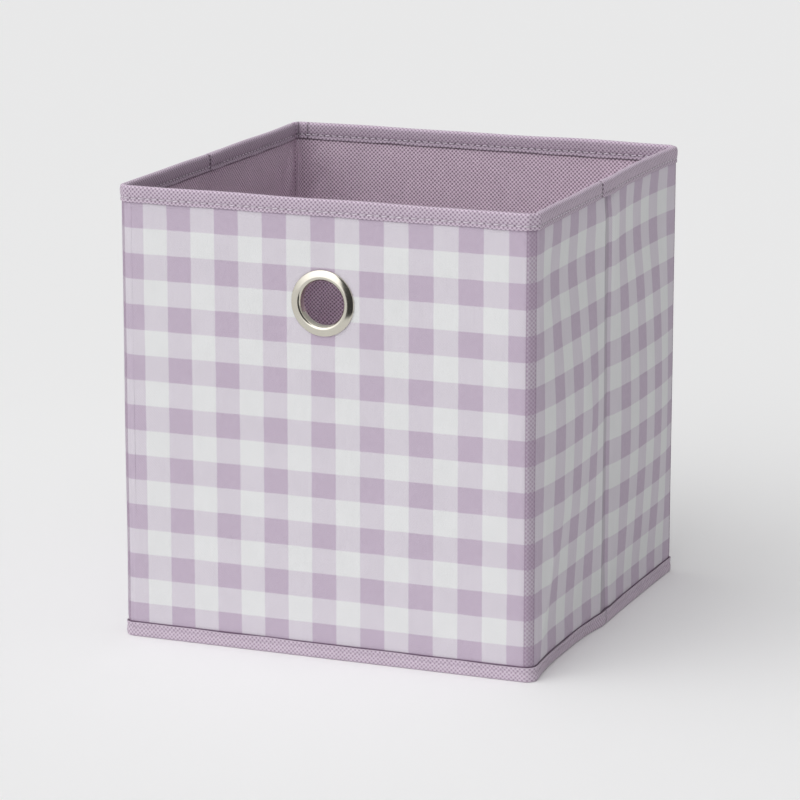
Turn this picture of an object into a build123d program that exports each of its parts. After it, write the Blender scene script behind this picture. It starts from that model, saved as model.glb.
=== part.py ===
from build123d import *
import os

# A collapsible fabric storage bin: a square open box of card boards between an outer fabric and a
# lining, bound with tape round the rim and the foot, with a finger grommet in its front wall and a
# loose base insert. Millimetres, +Z up, origin on the floor under the middle of the bin, front at -Y.

# Driving dimensions
SIDE = 266.7  # outside width and depth over the binding tape
HEIGHT = 279.4
TAPE = 0.7  # binding tape
FABRIC = 0.4  # outer fabric, lining, base fabric and insert cover
CARD = 1.8  # wall boards
CORNER_RADIUS = 6.5  # outside of the tape; its axis is the fold line of the corner
CREASE_HALF = 4.0  # half of the soft strip at each side wall's centre crease
STRIP_GAP = 0.2  # between a soft strip and the panel beside it
CORNER_GAP_DEG = 1.5  # the same gap at a corner, as an angle about the fold line
RIM_OUTSIDE_LEG = 10.0
RIM_INSIDE_LEG = 10.6
RIM_ROUND = 1.6
FOOT_LEG = 8.8
FOOT_LIP = 6.0  # turned under the base
WALL_BOTTOM = 9.3  # the walls swing just above the foot binding
THREAD = 0.5
THREAD_PROUD = 0.15
THREAD_END = 1.0  # a thread stops this short of its panel's end
RIM_THREAD_UP = 2.5  # above the lower edge of the outside leg
FOOT_THREAD_DOWN = 2.9  # below the upper edge of the foot leg
GROMMET_Z = 217.5
BORE_RADIUS = 13.25
FLANGE_RADIUS = 20.0
FLANGE_PROUD = 2.4
WASHER_RADIUS = 19.0
METAL = 0.6
INSERT_SIDE = 254.0
INSERT_CARD = 1.6
INSERT_LIFT = 0.1  # over the base fabric
INSERT_RADIUS = 4.0
INSERT_THREAD_IN = 5.0  # from the insert's edge

# Insets of the wall's layers from the outside face, worked out from the thicknesses
OUTER_FABRIC = (TAPE, TAPE + FABRIC)
BOARD = (OUTER_FABRIC[1], OUTER_FABRIC[1] + CARD)
LINING = (BOARD[1], BOARD[1] + FABRIC)
RIM_DEPTH = LINING[1] + TAPE
SHEET_TOP = HEIGHT - RIM_ROUND  # the wall's layers stop under the rounded crest of the tape
RIM_THREAD_Z = HEIGHT - RIM_OUTSIDE_LEG + RIM_THREAD_UP
STRAIGHT_HALF = SIDE / 2 - CORNER_RADIUS  # a wall is straight between two fold lines

# Each stiff panel: the turn of its wall about Z from the front wall, and its two ends along that wall
PANELS = {
    "front": (0, -STRAIGHT_HALF, STRAIGHT_HALF),
    "right_front": (90, -STRAIGHT_HALF, -CREASE_HALF),
    "right_rear": (90, CREASE_HALF, STRAIGHT_HALF),
    "back": (180, -STRAIGHT_HALF, STRAIGHT_HALF),
    "left_rear": (-90, -STRAIGHT_HALF, -CREASE_HALF),
    "left_front": (-90, CREASE_HALF, STRAIGHT_HALF),
}
# Each soft corner is at the far end of the wall with this turn, and each crease in its middle
CORNERS = {"front_right": 0, "back_right": 90, "back_left": 180, "front_left": -90}
CREASES = {"right": 90, "left": -90}


def on_wall(turn):
    """A wall's own frame: X along the wall, Y inwards from its outside face, Z up."""
    return Rot(0, 0, turn) * Pos(0, -SIDE / 2, 0)


def layer_section(layer):
    """Upright section of one flat layer of the wall, in the plane across it."""
    inner, outer = layer[1], layer[0]
    middle = Pos((inner + outer) / 2, (WALL_BOTTOM + SHEET_TOP) / 2)
    return Plane.YZ * (middle * Rectangle(inner - outer, SHEET_TOP - WALL_BOTTOM))


def rim_section():
    """Tape folded over the top edge: two legs and a rounded crest."""
    outside_foot = HEIGHT - RIM_OUTSIDE_LEG
    inside_foot = HEIGHT - RIM_INSIDE_LEG
    under_crest = HEIGHT - TAPE
    tape = make_face(
        Polyline(
            (0, outside_foot),
            (0, HEIGHT),
            (RIM_DEPTH, HEIGHT),
            (RIM_DEPTH, inside_foot),
            (RIM_DEPTH - TAPE, inside_foot),
            (RIM_DEPTH - TAPE, under_crest),
            (TAPE, under_crest),
            (TAPE, outside_foot),
            close=True,
        )
    )
    tape = fillet(tape.vertices().group_by(Axis.Y)[-1], RIM_ROUND)
    inner_corners = [v for v in tape.vertices() if abs(v.Y - under_crest) < 1e-6]
    return Plane.YZ * fillet(inner_corners, RIM_ROUND - TAPE)


def straight(section, start, end):
    """A section run along the wall."""
    return Pos(start, 0, 0) * extrude(section, amount=end - start, dir=(1, 0, 0))


def round_corner(section):
    """A section turned about the corner's fold line, short of both neighbours by the gap."""
    fold_line = Axis((0, CORNER_RADIUS, 0), (0, 0, 1))
    bend = revolve(section, axis=fold_line, revolution_arc=90 - 2 * CORNER_GAP_DEG)
    turn = Pos(0, CORNER_RADIUS, 0) * Rot(0, 0, CORNER_GAP_DEG) * Pos(0, -CORNER_RADIUS, 0)
    return Pos(STRAIGHT_HALF, 0, 0) * turn * bend


def rim_threads(start, end):
    """The needle thread outside and the bobbin thread inside, each a thin bar on the tape."""
    length = end - start - 2 * THREAD_END
    middle = (start + end) / 2
    bar = Box(length, THREAD_PROUD, THREAD)
    outside = Pos(middle, -THREAD_PROUD / 2, RIM_THREAD_Z) * bar
    inside = Pos(middle, RIM_DEPTH + THREAD_PROUD / 2, RIM_THREAD_Z) * bar
    return Compound(children=[outside, inside])


def grommet_hole():
    """Clearance through the wall for the grommet's barrel."""
    radius = BORE_RADIUS + METAL + 0.15
    return Pos(0, RIM_DEPTH / 2, GROMMET_Z) * Rot(90, 0, 0) * Cylinder(radius, 2 * RIM_DEPTH)


def square(side, radius, thickness, bottom):
    """A flat square plate with round corners, by its underside."""
    return Pos(0, 0, bottom) * extrude(RectangleRounded(side, side, radius), thickness)


def square_ring(side, radius, wall, height, bottom):
    """An upright band round a square with round corners, measured outside."""
    hollow = square(side - 2 * wall, max(radius - wall, 0.5), height, bottom)
    return square(side, radius, height, bottom) - hollow


def panel_parts(name):
    """The five pieces of one stiff panel."""
    turn, start, end = PANELS[name]
    layers = {"outer_fabric": OUTER_FABRIC, "board": BOARD, "lining": LINING}
    pieces = {}
    for layer_name, layer in layers.items():
        solid = straight(layer_section(layer), start, end)
        if name == "front":
            solid = solid - grommet_hole()
        pieces[f"{name}_{layer_name}"] = on_wall(turn) * solid
    pieces[f"{name}_rim_binding"] = on_wall(turn) * straight(rim_section(), start, end)
    pieces[f"{name}_rim_thread"] = on_wall(turn) * rim_threads(start, end)
    return pieces


def soft_sections():
    """The three sheets that a soft corner or crease is made of."""
    return {
        "fabric": layer_section(OUTER_FABRIC),
        "lining": layer_section(LINING),
        "binding": rim_section(),
    }


def corner_parts(name, turn):
    """Outer fabric, lining and rim binding bent round one corner, with no board between them."""
    sections = soft_sections().items()
    return {f"{name}_corner_{key}": on_wall(turn) * round_corner(item) for key, item in sections}


def crease_parts(name, turn):
    """Outer fabric, lining and rim binding over one side crease."""
    half = CREASE_HALF - STRIP_GAP
    sections = soft_sections().items()
    return {f"{name}_crease_{key}": on_wall(turn) * straight(item, -half, half) for key, item in sections}


def grommet_parts():
    """The eyelet, domed outside and rolled over a washer inside, turned about the finger hole."""
    face = -OUTER_FABRIC[0]
    crest = face + FLANGE_PROUD
    lining_face = -LINING[1]
    washer_face = lining_face - METAL
    end = washer_face - METAL
    lip = crest - 0.9
    curl_radius = BORE_RADIUS + 2.4
    dome_middle = BORE_RADIUS + 3.5
    outline = [
        ThreePointArc((FLANGE_RADIUS, face + 0.2), (dome_middle, crest), (BORE_RADIUS, lip)),
        Polyline(
            (BORE_RADIUS, lip),
            (BORE_RADIUS, end),
            (curl_radius, end),
            (curl_radius, washer_face),
            (BORE_RADIUS + METAL, washer_face),
            (BORE_RADIUS + METAL, face),
            (FLANGE_RADIUS, face),
            (FLANGE_RADIUS, face + 0.2),
        ),
    ]
    washer_inner = BORE_RADIUS + METAL + 0.1
    washer_middle = Pos((washer_inner + WASHER_RADIUS) / 2, (lining_face + washer_face) / 2)
    washer_section = washer_middle * Rectangle(WASHER_RADIUS - washer_inner, METAL)
    # The sections are drawn as radius and distance outwards, then turned so that outwards is -Y
    stand = on_wall(0) * Pos(0, 0, GROMMET_Z) * Rot(0, 0, 180)
    return {
        "grommet_ring": stand * revolve(make_face(outline), axis=Axis.Y),
        "grommet_washer": stand * revolve(washer_section, axis=Axis.Y),
    }


def foot_parts():
    """Tape round the bottom edge with a lip under the base, its thread, and the base fabric."""
    leg = square_ring(SIDE, CORNER_RADIUS, TAPE, FOOT_LEG, 0)
    lip = square_ring(SIDE, CORNER_RADIUS, FOOT_LIP, TAPE, 0)
    thread_bottom = FOOT_LEG - FOOT_THREAD_DOWN - THREAD / 2
    thread_side = SIDE + 2 * THREAD_PROUD
    base_side = SIDE - 2 * TAPE
    base_radius = CORNER_RADIUS - TAPE
    base_top = TAPE + FABRIC
    return {
        "foot_binding": leg + lip,
        "foot_thread": square_ring(
            thread_side, CORNER_RADIUS + THREAD_PROUD, THREAD_PROUD, THREAD, thread_bottom
        ),
        "base_fabric": square(base_side, base_radius, FABRIC, TAPE),
        "base_seam_allowance": square_ring(
            base_side, base_radius, FABRIC, FOOT_LEG - base_top, base_top
        ),
    }


def insert_parts():
    """The loose floor: card in a fabric cover of two sheets that meet half way up its edge."""
    bottom = TAPE + FABRIC + INSERT_LIFT
    top = bottom + 2 * FABRIC + INSERT_CARD
    middle = (bottom + top) / 2
    card_side = INSERT_SIDE - 2 * FABRIC
    skirt = middle - bottom - FABRIC
    thread_side = INSERT_SIDE - 2 * INSERT_THREAD_IN
    return {
        "base_insert_board": square(card_side, INSERT_RADIUS - FABRIC, INSERT_CARD, bottom + FABRIC),
        "base_insert_cover_bottom": square(INSERT_SIDE, INSERT_RADIUS, FABRIC, bottom)
        + square_ring(INSERT_SIDE, INSERT_RADIUS, FABRIC, skirt, bottom + FABRIC),
        "base_insert_cover_top": square(INSERT_SIDE, INSERT_RADIUS, FABRIC, top - FABRIC)
        + square_ring(INSERT_SIDE, INSERT_RADIUS, FABRIC, skirt, middle),
        "base_insert_thread": square_ring(thread_side, INSERT_RADIUS, THREAD, THREAD_PROUD, top),
    }


def build():
    parts = {}
    for name in PANELS:
        parts.update(panel_parts(name))
    for name, turn in CORNERS.items():
        parts.update(corner_parts(name, turn))
    for name, turn in CREASES.items():
        parts.update(crease_parts(name, turn))
    parts.update(grommet_parts())
    parts.update(foot_parts())
    parts.update(insert_parts())
    return parts


os.makedirs("parts", exist_ok=True)
for node, shape in build().items():
    export_step(shape, f"parts/{node}.step")
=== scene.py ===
"""The looks of the fabric storage bin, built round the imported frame. Metres, front at -Y, +Z up."""
import math
from dataclasses import dataclass

import bpy
import numpy as np
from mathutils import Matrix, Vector


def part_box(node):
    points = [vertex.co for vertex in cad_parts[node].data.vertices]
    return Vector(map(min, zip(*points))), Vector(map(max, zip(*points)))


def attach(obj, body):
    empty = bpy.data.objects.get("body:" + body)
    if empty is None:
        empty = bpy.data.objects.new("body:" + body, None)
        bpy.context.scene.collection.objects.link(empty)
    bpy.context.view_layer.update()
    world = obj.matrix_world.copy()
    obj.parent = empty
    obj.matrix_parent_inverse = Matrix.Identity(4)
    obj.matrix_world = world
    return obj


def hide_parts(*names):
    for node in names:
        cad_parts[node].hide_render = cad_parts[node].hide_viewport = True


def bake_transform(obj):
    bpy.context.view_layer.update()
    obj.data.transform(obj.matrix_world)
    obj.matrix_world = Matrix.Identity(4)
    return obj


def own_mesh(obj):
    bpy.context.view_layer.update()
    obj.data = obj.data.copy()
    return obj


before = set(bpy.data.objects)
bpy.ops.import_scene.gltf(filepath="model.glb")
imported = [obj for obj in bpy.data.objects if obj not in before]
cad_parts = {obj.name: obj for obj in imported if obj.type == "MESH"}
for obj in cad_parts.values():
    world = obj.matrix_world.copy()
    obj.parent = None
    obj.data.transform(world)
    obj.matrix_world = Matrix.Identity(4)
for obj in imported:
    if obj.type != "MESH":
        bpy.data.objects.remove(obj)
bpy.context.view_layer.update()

MM = 0.001

# ---------------------------------------------------------------- sizes, read from the frame
SIDE = 2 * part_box("foot_binding")[1].x
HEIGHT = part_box("front_rim_binding")[1].z
STRAIGHT = 2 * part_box("front_board")[1].x
HALF = STRAIGHT / 2
RADIUS = (SIDE - STRAIGHT) / 2
OUTER_IN = SIDE / 2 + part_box("front_outer_fabric")[0].y
BOARD_IN = SIDE / 2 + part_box("front_board")[0].y
LINING_IN = SIDE / 2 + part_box("front_lining")[0].y
RIM_DEPTH = SIDE / 2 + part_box("front_rim_binding")[1].y
FABRIC = BOARD_IN - OUTER_IN
CARD = LINING_IN - BOARD_IN
TAPE = OUTER_IN
RIM_LEG = 10.0 * MM  # of the rim tape, outside
RIM_FOOT = HEIGHT - RIM_LEG
RIM_INNER_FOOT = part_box("front_rim_binding")[0].z
FOOT_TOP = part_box("foot_binding")[1].z
INSERT_LOW, INSERT_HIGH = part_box("base_insert_cover_bottom")[0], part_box("base_insert_cover_top")[1]
GROMMET = (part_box("grommet_ring")[0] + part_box("grommet_ring")[1]) / 2
BORE = 13.25 * MM
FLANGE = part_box("grommet_ring")[1].x

# ---------------------------------------------------------------- sizes of what only Blender makes
CHECK = 15.49 * MM  # side of one gingham check
THREAD_R = 0.31 * MM
RIM_STITCH_UP = 2.5 * MM  # above the edge of the rim tape's leg
FOOT_STITCH_DOWN = 2.9 * MM  # below the foot tape's upper edge
INSERT_STITCH_IN = 5.0 * MM  # from the insert's edge
RIM_TAPE_WIDTH = 24.6 * MM  # the tapes' widths when they lie flat
MARGIN = 3.0 * MM  # how far a corner strip runs onto the flat
LAP = 6.0 * MM  # and at the back left corner, where two laps slide over each other
CREASE = 12.0 * MM  # half width of the soft strip at a side crease
CREASE_BEND = 5.0 * MM  # half width of the part of it that bends
SHEET_TOP = HEIGHT - 8.0 * MM  # the sheets end behind the rim tape
OUTER_BOTTOM = FOOT_TOP - 1.5 * MM  # and behind the foot tape
LINING_BOTTOM = INSERT_HIGH.z + 0.7 * MM
ARC = math.pi / 2 * (RADIUS - OUTER_IN - FABRIC / 2)
RUN = STRAIGHT + ARC  # one wall and one corner
PITCH = RUN / 57  # of the stitches

# ---------------------------------------------------------------- the path round the bin


def at(wall, u):
    """Distance round the bin of a place on a wall, from the place's distance from the wall's middle."""
    return wall * RUN + u


def split(s):
    """Wall number (0 front, 1 right, 2 back, 3 left) and distance from that wall's middle."""
    k = np.floor((s + HALF) / RUN)
    return k.astype(int) % 4, s - k * RUN


def place(s, inset, z):
    """Points at distance s round the bin from the front's middle, inset from the outside face."""
    s, inset, z = np.broadcast_arrays(np.asarray(s, float), inset, z)
    wall, u = split(s)
    turn = np.clip((u - HALF) / ARC, 0, 1) * math.pi / 2
    r = RADIUS - inset
    corner = u > HALF
    x = np.where(corner, HALF + r * np.sin(turn), u)
    y = np.where(corner, -SIDE / 2 + RADIUS - r * np.cos(turn), -SIDE / 2 + inset)
    a = wall * math.pi / 2
    return np.stack([x * np.cos(a) - y * np.sin(a), x * np.sin(a) + y * np.cos(a), z], -1)


def smooth(points, x):
    """A smooth curve through a few given points."""
    px, py = np.array(points, float).T
    slope = np.gradient(py, px)
    i = np.clip(np.searchsorted(px, x) - 1, 0, len(px) - 2)
    h = px[i + 1] - px[i]
    t = np.clip((x - px[i]) / h, 0, 1)
    a, b = py[i] * (1 + 2 * t) * (1 - t) ** 2, py[i + 1] * t * t * (3 - 2 * t)
    return a + b + h * (slope[i] * t * (1 - t) ** 2 + slope[i + 1] * t * t * (t - 1))


def ripple(s, z, seed, wave):
    """Soft unevenness between about -1 and 1, the same each run."""
    rng = np.random.default_rng(seed)
    total = np.zeros(np.broadcast(s, z).shape)
    for _ in range(5):
        angle, phase = rng.uniform(0, 2 * math.pi, 2)
        k = 2 * math.pi / (wave * rng.uniform(0.7, 1.5))
        total = total + np.sin(k * (np.cos(angle) * s + np.sin(angle) * z) + phase)
    return total / 3


def flat_topped(t):
    """0 at both ends of 0..1 and nearly 1 over the middle."""
    return 1 - np.abs(np.clip(2 * t - 1, -1, 1)) ** 3


# How far each side half bows outwards, in mm, against the height in mm
FRONT_HALF_BOW = [
    (0, -3.6), (9, -2.2), (25, -2.2), (60, -0.4), (110, 2.4),
    (150, 3.0), (205, 0.0), (238, -2.4), (262, -1.1), (280, -0.5),
]
REAR_HALF_BOW = [
    (0, -0.4), (20, -0.9), (50, 0.9), (105, 3.1), (150, 2.6),
    (200, 0.0), (238, -3.0), (258, -2.9), (270, -1.9), (280, -1.6),
]
# Diagonal folds at the front of the right wall: from, to, how proud and how wide, all in mm
PULLED_FOLDS = [
    ((-122, 12), (-84, 108), 1.5, 6.5),
    ((-104, 8), (-66, 88), -1.1, 6.0),
    ((-60, 190), (-28, 110), 0.9, 7.0),
    ((-112, 262), (-80, 190), -0.8, 7.0),
]
RIM_SAG = 1.1 * MM  # how far the rim is drawn in at a side crease


def bow(s, z):
    """How far the whole wall stands out from flat. It is nothing at the corners and, below the rim, at the
    creases."""
    wall, u = split(s)
    side = (wall == 1) | (wall == 3)
    rear = np.where(wall == 1, u, -u) > 0
    start, end = HALF - MARGIN, 9 * MM
    t = np.clip((np.abs(u) - end) / (start - end), 0, 1)
    height = z / MM
    profile = np.where(rear, smooth(REAR_HALF_BOW, height), smooth(FRONT_HALF_BOW, height))
    strength = np.where(wall == 3, 0.6, 1.0)
    rim = np.clip((z - HEIGHT + 26 * MM) / (16 * MM), 0, 1)
    fade = np.clip(1 - t * 1.5, 0, 1) ** 2
    sag = -RIM_SAG / MM * rim * rim * (3 - 2 * rim) * fade
    halves = (profile * flat_topped(t) * (t > 0) + sag) * strength
    whole = flat_topped((u + start) / (2 * start)) * np.sin(math.pi * np.clip(z / HEIGHT, 0, 1))
    plain = np.where(wall == 0, -0.25, 0.7) * whole
    return np.where(np.abs(u) < start, np.where(side, halves, plain), 0) * MM


def pulled_folds(s, z):
    """Soft diagonal folds where the cloth is pulled towards the foot at the front of the right wall."""
    wall, u = split(s)
    total = 0 * u
    for start, end, height, width in PULLED_FOLDS:
        start, end = np.array(start) * MM, np.array(end) * MM
        length = np.hypot(*(end - start))
        way = (end - start) / length
        along = (u - start[0]) * way[0] + (z - start[1]) * way[1]
        aside = (z - start[1]) * way[0] - (u - start[0]) * way[1]
        ends = flat_topped(np.clip(along / length, 0, 1))
        total = total + height * np.exp(-((aside / (width * MM)) ** 2)) * ends
    clear_of_crease = np.clip((-u - CREASE) / (12 * MM), 0, 1)
    clear_of_corner = np.clip((u + HALF - MARGIN) / (8 * MM), 0, 1)
    return np.where(wall == 1, total * clear_of_crease * clear_of_corner, 0) * MM


def crease_groove(s, z):
    """The outer fabric falls in sharply at the front edge of a side crease and comes back softly."""
    wall, u = split(s)
    u = np.where(wall == 1, u, -u) / MM
    fall = np.clip((u + 9.6) / 9.6, 0, 1)
    back = 1 - np.clip(u / 9.5, 0, 1)
    depth = np.where(u < 0, fall**0.85, back * back * (3 - 2 * back))
    ridge = 0.3 * np.exp(-(((u + 10.2) / 1.1) ** 2))
    inside = ((wall == 1) | (wall == 3)) & (np.abs(u) < CREASE / MM)
    wobble = 1 + 0.12 * ripple(s * 0, z, 5, 60 * MM)
    fade = 0.4 + 0.6 * np.clip((z - FOOT_TOP) / (30 * MM), 0, 1)
    return np.where(inside, 1.95 * depth * wobble - ridge, 0) * fade * MM


def lining_groove(s):
    """The lining is drawn out between the boards at the creases and lies in the bare corners."""
    wall, u = split(s)
    near = np.exp(-((u / (3.2 * MM)) ** 2))
    return np.where((wall == 1) | (wall == 3), -0.25 * near, 0) * MM


def corner_edge(s):
    """A shallow line down each side of a corner, where the board stops."""
    _, u = split(s)
    line = 0
    for edge in (-HALF, HALF, HALF + ARC):
        line = line + np.exp(-(((u - edge) / (0.8 * MM)) ** 2))
    return 0.4 * MM * line


def corner_pull(s, z):
    """The walls' tops are drawn in a little at the corners, which rounds them."""
    _, u = split(s)
    turn = np.clip((u - HALF) / ARC, 0, 1)
    open_corner = np.floor((s + HALF) / RUN).astype(int) % 4 == 2
    pull = np.where(open_corner, 0, 1.0 * MM)
    return pull * np.sin(math.pi * turn) ** 2 * np.clip(0.2 + 0.8 * z / HEIGHT, 0, 1)


def tucked(z):
    """The outer fabric curves in behind the foot tape and the rim tape."""
    low = np.clip((FOOT_TOP + 3.0 * MM - z) / (3.5 * MM), 0, 1)
    high = np.clip((z - RIM_FOOT + 1.5 * MM) / (2.5 * MM), 0, 1)
    return (0.75 * low * low + 0.25 * high * high) * MM


# ---------------------------------------------------------------- sections: an outside and an inside path


def upright(inset, thickness, bottom, top, step=2.5 * MM):
    """Section of a flat sheet. The first path is the face away from the wall's middle."""
    z = np.linspace(bottom, top, max(2, round((top - bottom) / step)) + 1)
    return (np.full_like(z, inset), z), (np.full_like(z, inset + thickness), z)


def folded_tape():
    """Section of the rim tape: up the outside, over the crest, down the inside."""
    r = 1.6 * MM
    out = np.linspace(RIM_FOOT, HEIGHT - r, 14)
    turn = np.linspace(0, math.pi / 2, 6)[1:]
    flat = np.linspace(r, RIM_DEPTH - r, 3)[1:]
    down = np.linspace(HEIGHT - r, RIM_INNER_FOOT, 15)[1:]
    first, last = r * np.cos(turn), r * np.sin(turn)
    x = np.concatenate([0 * out, r - first, flat, RIM_DEPTH - r + last, 0 * down + RIM_DEPTH])
    z = np.concatenate([out, HEIGHT - r + last, 0 * flat + HEIGHT, HEIGHT - r + first, down])
    return (x, z), inner_path(x, z, TAPE)


def foot_tape():
    """Section of the foot tape: out along the underside, then up the leg."""
    r, lip = 1.2 * MM, 6.0 * MM
    under = np.linspace(lip, r, 5)
    turn = np.linspace(0, math.pi / 2, 6)[1:]
    up = np.linspace(r, FOOT_TOP, 12)[1:]
    x = np.concatenate([under, r - r * np.sin(turn), 0 * up])
    z = np.concatenate([0 * under, r - r * np.cos(turn), up])
    return (x, z), inner_path(x, z, TAPE)


def inner_path(x, z, thickness):
    """The same path moved to the tape's other face."""
    dx, dz = np.gradient(x), np.gradient(z)
    n = np.hypot(dx, dz)
    return x + thickness * dz / n, z - thickness * dx / n


# ---------------------------------------------------------------- meshes


def new_object(name, verts, faces, uvs, material, smooth_angle=40):
    """A mesh object with its UV maps, given by vertex."""
    mesh = bpy.data.meshes.new(name)
    mesh.from_pydata(verts.tolist(), [], faces.tolist() if hasattr(faces, "tolist") else faces)
    mesh.validate()
    index = np.zeros(len(mesh.loops), int)
    mesh.loops.foreach_get("vertex_index", index)
    for uv_name, uv in uvs.items():
        layer = mesh.uv_layers.new(name=uv_name)
        layer.data.foreach_set("uv", uv[index].astype(np.float32).ravel())
    mesh.polygons.foreach_set("use_smooth", np.ones(len(mesh.polygons), bool))
    mesh.set_sharp_from_angle(angle=math.radians(smooth_angle))
    mesh.materials.append(material)
    obj = bpy.data.objects.new(name, mesh)
    bpy.context.scene.collection.objects.link(obj)
    return obj


def print_uv(s, z):
    """Where a point lies on the printed checks. Columns are counted from each wall's own middle, and every
    corner falls within one dark column."""
    wall, u = split(s)
    side = (wall == 1) | (wall == 3)
    forward = np.where(wall == 3, -u, u)
    to_crease, lost_in_crease = 1.25 * MM, 1.48 * MM

    def column(side, forward):
        from_crease = np.abs(forward + to_crease)
        taken_up = lost_in_crease * np.clip((forward + to_crease) / (6 * MM), 0, 1)
        return np.where(side, from_crease + taken_up, np.abs(forward))

    t = np.clip((u - HALF) / ARC, 0, 1)
    before = column(side, np.where(wall == 3, -HALF, HALF))
    after = column(~side, np.where(wall == 2, HALF, -HALF))
    pu = np.where(u > HALF, before * (1 - t) + after * t, column(side, forward))
    rise = 1.0 * MM * np.where(side, 1 - t, t)
    return np.stack([pu, z - rise], -1)


def sheet_seam(s, x, z):
    return z, 0 * z


def rim_seam(s, x, z):
    """Distance above the row of stitches, and how dark the tape is made: painted shade in its fold at each
    side crease and at the back left corner, and a dark line at its joint inside the back.
    """
    low = np.where(x > RIM_DEPTH / 2, RIM_INNER_FOOT, RIM_FOOT)
    # painted shade in the tape's folds at the side creases and the back left corner
    nick, _ = rim_notch(s)
    nick = nick + 0.8 * np.exp(-(((s - at(2, HALF + ARC / 2)) / (0.9 * MM)) ** 2))
    joint = np.exp(-(((s - at(2, HALF - 4.5 * MM)) / (0.6 * MM)) ** 2)) * (x > RIM_DEPTH / 2)
    return z - low - RIM_STITCH_UP, np.clip(nick + 0.7 * joint, 0, 1)


def foot_seam(s, x, z):
    """The foot's stitches are sunk in the cloth, so only the fold at each side crease shows, in painted
    shade.
    """
    wall, u = split(s)
    u = np.where(wall == 1, u, -u)
    # painted shade in the foot tape's fold at each side crease
    fold = np.exp(-(((u + 1.5 * MM) / (0.8 * MM)) ** 2)) * ((wall == 1) | (wall == 3))
    return 0 * z - FOOT_TOP, 0.5 * fold


def sweep(name, s, section, shape, material, seam=sheet_seam):
    """A closed shell: the section carried along s, with flat ends."""
    (x0, z0), (x1, z1) = section
    n, m = len(x0), len(s)
    x = np.concatenate([x0, x1[::-1]])
    z = np.concatenate([z0, z1[::-1]])
    run = np.concatenate([[0], np.cumsum(np.hypot(np.diff(x0), np.diff(z0)))])
    run = np.concatenate([run, run[::-1]])
    ss, xx, zz, runs = np.broadcast_arrays(s[:, None], x, z, run)
    outer = np.broadcast_to(np.arange(2 * n) < n, ss.shape)
    inset, height = shape(ss, xx, zz, outer)
    verts = place(ss, inset, height).reshape(-1, 3)
    i, j = np.meshgrid(np.arange(m - 1), np.arange(2 * n), indexing="ij")
    j2 = (j + 1) % (2 * n)
    here, beyond = i * 2 * n, (i + 1) * 2 * n
    sides = np.stack([here + j, beyond + j, beyond + j2, here + j2], -1).reshape(-1, 4)
    k = np.arange(n - 1)
    first = np.stack([k, k + 1, 2 * n - 2 - k, 2 * n - 1 - k], -1)
    last = (m - 1) * 2 * n + first[:, ::-1]
    faces = np.concatenate([sides, first, last])
    cloth = np.stack([ss, runs], -1).reshape(-1, 2)
    printed = print_uv(ss, zz).reshape(-1, 2)
    beside = np.stack(seam(ss, xx, zz), -1).reshape(-1, 2)
    return new_object(name, verts, faces, {"cloth": cloth, "print": printed, "seam": beside}, material)


# Each shape takes places round the bin with the section's inset and height there, and whether they are on
# the face away from the wall's middle. It gives back the inset and height that they are moved to.


def outer_shape(s, x, z, outer):
    press = crease_groove(s, z) + corner_edge(s) + corner_pull(s, z) + tucked(z)
    uneven = 0.14 * MM * ripple(s, z, 3, 70 * MM)
    return x - bow(s, z) - uneven - np.maximum(pulled_folds(s, z), -0.3 * MM) + press, z


def board_shape(s, x, z, outer):
    return x - bow(s, z), z


def lining_shape(s, x, z, outer):
    """The lining wrinkles beside the corners, least at the front, where the tipped insert needs the room."""
    wall, u = split(s)
    to_corner = np.minimum(np.abs(u - HALF), np.abs(u + HALF))
    loose = np.exp(-((to_corner / (26 * MM)) ** 2)) * np.clip((RIM_FOOT - z) / (12 * MM), 0, 1)
    loose = loose * np.clip((to_corner - MARGIN) / (5 * MM), 0, 1)
    at_front = (wall == 0) | ((wall == 1) & (u < 0)) | ((wall == 3) & (u > 0))
    wrinkle = np.where(at_front, 1.0, 2.6) * loose * ripple(s + 0.5 * z, z * 0.3, 8, 22 * MM)
    wrinkle = wrinkle + 0.1 * ripple(s, z, 4, 60 * MM)
    return x - bow(s, z) - lining_groove(s) + np.abs(wrinkle) * MM, z


def stitch_dip(s, away):
    """The tape is drawn in along a row of stitches, most at the needle holes."""
    hole = np.abs(((s / PITCH) % 1) - 0.5) * 2
    return np.exp(-((away / (0.85 * MM)) ** 2)) * (0.2 + 0.35 * hole**4) * MM


def rim_notch(s):
    """The tape folds at each side crease: a narrow nick just before it and a slight step after."""
    wall, u = split(s)
    u = np.where(wall == 1, u, -u)
    fold = np.where(wall == 1, -14.8 * MM, -9.8 * MM)
    nick = np.exp(-(((u - fold) / (0.8 * MM)) ** 2))
    step = np.clip((u - fold) / (2 * MM), 0, 1) * np.clip((CREASE - u) / (6 * MM), 0, 1)
    side = (wall == 1) | (wall == 3)
    return np.where(side, nick, 0), np.where(side, step, 0)


def rim_shape(s, x, z, outer):
    inside = x > RIM_DEPTH / 2
    low = np.where(inside, RIM_INNER_FOOT, RIM_FOOT)
    line = low + RIM_STITCH_UP
    on_leg = z < HEIGHT - 1.7 * MM
    dip = np.where(on_leg, stitch_dip(s, z - line), 0)
    belly = np.clip(np.sin(math.pi * (z - line) / (HEIGHT - line)), 0, 1)
    swell = np.where(on_leg, 0.28 * MM * belly, 0)
    nick, step = rim_notch(s)
    out = np.where(outer, swell - dip, 0) - 1.1 * MM * nick + 0.45 * MM * step
    edge = np.clip((line - z) / RIM_STITCH_UP, 0, 1)
    droop = 0.25 * MM * edge * ripple(s, 0 * z, 6, 30 * MM)
    crest = np.clip((z - RIM_FOOT) / RIM_LEG, 0, 1) * (0.3 * ripple(s, 0 * z, 9, 90 * MM) - 0.6 * nick) * MM
    flare = 0.12 * MM * edge * outer
    pull = corner_pull(s, z) * np.where(inside, 0.3, 1.15)
    return x - bow(s, z) + pull + np.where(inside, 1, -1) * (out + flare), z + droop + crest


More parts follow.
